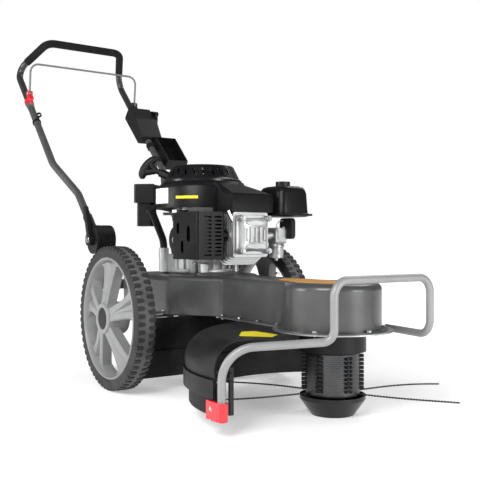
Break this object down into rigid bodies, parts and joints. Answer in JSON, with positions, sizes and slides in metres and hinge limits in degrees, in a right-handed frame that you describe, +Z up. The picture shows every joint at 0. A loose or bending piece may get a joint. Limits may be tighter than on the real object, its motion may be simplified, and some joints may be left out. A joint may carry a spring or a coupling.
{
  "type": "brush mower",
  "caption": "Walk-behind string trimmer mower with large wheels, a long drive housing to a drum head in a partial debris shield, a top-mounted engine, a tube bumper and a folding loop handle.",
  "frame": {"origin": "on the ground, under the middle of the wheel axle", "axes": "+Z up, -Y towards the cutting head at the front, +X towards the left-hand side of the machine"},
  "size_m": [0.6485, 1.8298, 1.1907],
  "materials": {
    "deck_paint": "satin",
    "plate_steel": "satin",
    "bright_steel": "satin",
    "tube_paint": "satin",
    "loop_gloss": "gloss",
    "foam": "matt",
    "tyre": "matt",
    "rim_grey": "satin",
    "black_plastic": "matt",
    "engine_black": "satin",
    "panel_black": "satin",
    "rubber": "matt",
    "bumper_grey": "satin",
    "red_plastic": "gloss",
    "alloy": "cast",
    "exhaust": "matt",
    "line": "satin"
  },
  "bodies": {
    "chassis": {"air_filter_box": "black_plastic", "axle": "bright_steel", "axle_brackets": "deck_paint", "base_plate": "plate_steel", "blower_shroud": "engine_black", "bumper": "bumper_grey", "bumper_sleeve": "red_plastic", "carburettor": "alloy", "chassis_bolts": "bright_steel", "cross_beam": "deck_paint", "cylinder_head": "alloy", "debris_shield": "black_plastic", "deck": "deck_paint", "drive_belt": "rubber", "engine_block": "alloy", "fuel_tank": "engine_black", "handle_brackets": "black_plastic", "muffler": "exhaust", "oil_filler": "black_plastic", "pivot_bolts": "bright_steel", "rear_cover": "black_plastic", "rear_panel": "panel_black", "recoil_cover": "engine_black", "rubber_flaps": "rubber", "spindle_bearings": "bright_steel", "spindle_housing": "plate_steel", "valve_cover": "alloy"},
    "handle": {"lower_tubes": "tube_paint", "upper_loop": "loop_gloss", "foam_grip": "foam", "ferrules": "bright_steel", "pivot_sockets": "black_plastic", "right_bail_fork": "red_plastic", "left_bail_fork": "black_plastic", "bail_pins": "bright_steel", "control_box": "black_plastic", "storage_caddy": "black_plastic", "rope_guide": "black_plastic"},
    "right_wheel": {"right_rim": "rim_grey", "right_tyre": "tyre", "right_hub_fittings": "bright_steel"},
    "left_wheel": {"left_rim": "rim_grey", "left_tyre": "tyre", "left_hub_fittings": "bright_steel"},
    "cutting_head": {"spindle_shaft": "bright_steel", "head_drum": "black_plastic", "trimmer_lines": "line", "driven_pulley": "bright_steel"},
    "glide_cup": {"glide_cup": "black_plastic"},
    "crank": {"crankshaft": "bright_steel", "drive_pulley": "bright_steel"},
    "idler_arm": {"idler_arm": "bright_steel"},
    "idler_pulley": {"idler_pulley": "bright_steel"},
    "right_clamp_lever": {"right_clamp_lever": "black_plastic"},
    "left_clamp_lever": {"left_clamp_lever": "black_plastic"},
    "bail": {"bail": "bright_steel"},
    "control_dial": {"control_dial": "engine_black"},
    "starter_grip": {"starter_grip": "engine_black"},
    "fuel_cap": {"fuel_cap": "engine_black"},
    "dipstick": {"dipstick": "black_plastic"}
  },
  "joints": [
    {"name": "right_wheel_spin", "type": "hinge", "parent": "chassis", "child": "right_wheel", "pos_m": [-0.258, 0, 0.2], "axis": [1, 0, 0], "continuous": true},
    {"name": "left_wheel_spin", "type": "hinge", "parent": "chassis", "child": "left_wheel", "pos_m": [0.258, 0, 0.2], "axis": [1, 0, 0], "continuous": true},
    {"name": "crank_spin", "type": "hinge", "parent": "chassis", "child": "crank", "pos_m": [0.058, 0.055, 0.3], "axis": [0, 0, 1], "continuous": true},
    {"name": "head_spin", "type": "hinge", "parent": "chassis", "child": "cutting_head", "pos_m": [0.058, -0.553, 0.1], "axis": [0, 0, 1], "continuous": true},
    {"name": "cup_spin", "type": "hinge", "parent": "cutting_head", "child": "glide_cup", "pos_m": [0.058, -0.553, 0.03], "axis": [0, 0, 1], "continuous": true},
    {"name": "idler_swing", "type": "hinge", "parent": "chassis", "child": "idler_arm", "pos_m": [-0.055, 0.01, 0.27], "axis": [0, 0, 1], "range_deg": [-8, 0], "stiffness_Nm_per_rad": 5},
    {"name": "idler_spin", "type": "hinge", "parent": "idler_arm", "child": "idler_pulley", "pos_m": [-0.01749, -0.06, 0.262], "axis": [0, 0, 1], "continuous": true},
    {"name": "handle_fold", "type": "hinge", "parent": "chassis", "child": "handle", "pos_m": [0, 0.345, 0.419], "axis": [1, 0, 0], "range_deg": [-12, 85]},
    {"name": "right_lever_turn", "type": "hinge", "parent": "chassis", "child": "right_clamp_lever", "pos_m": [-0.19, 0.345, 0.419], "axis": [1, 0, 0], "range_deg": [0, 120]},
    {"name": "left_lever_turn", "type": "hinge", "parent": "chassis", "child": "left_clamp_lever", "pos_m": [0.19, 0.345, 0.419], "axis": [1, 0, 0], "range_deg": [0, 120]},
    {"name": "bail_swing", "type": "hinge", "parent": "handle", "child": "bail", "pos_m": [0, 0.87235, 0.9753], "axis": [1, 0, 0], "range_deg": [-30, 0], "stiffness_Nm_per_rad": 1.5},
    {"name": "dial_turn", "type": "hinge", "parent": "handle", "child": "control_dial", "pos_m": [0.278, 0.82959, 0.91034], "axis": [1, 0, 0], "range_deg": [-30, 30]},
    {"name": "starter_pull", "type": "slide", "parent": "chassis", "child": "starter_grip", "axis": [-0.766, 0.5107, 0.3905], "range_m": [0, 0.45], "stiffness_N_per_m": 40},
    {"name": "fuel_cap_turn", "type": "hinge", "parent": "chassis", "child": "fuel_cap", "pos_m": [0.232, -0.125, 0.585], "axis": [0, 0, 1], "range_deg": [-90, 0]},
    {"name": "dipstick_lift", "type": "slide", "parent": "chassis", "child": "dipstick", "axis": [-0.5075, -0.2671, 0.8192], "range_m": [0, 0.12]}
  ],
  "couplings": [
    {"joint": "head_spin", "follows": "crank_spin", "ratio": 0.8},
    {"joint": "idler_spin", "follows": "crank_spin", "ratio": -1.75}
  ]
}
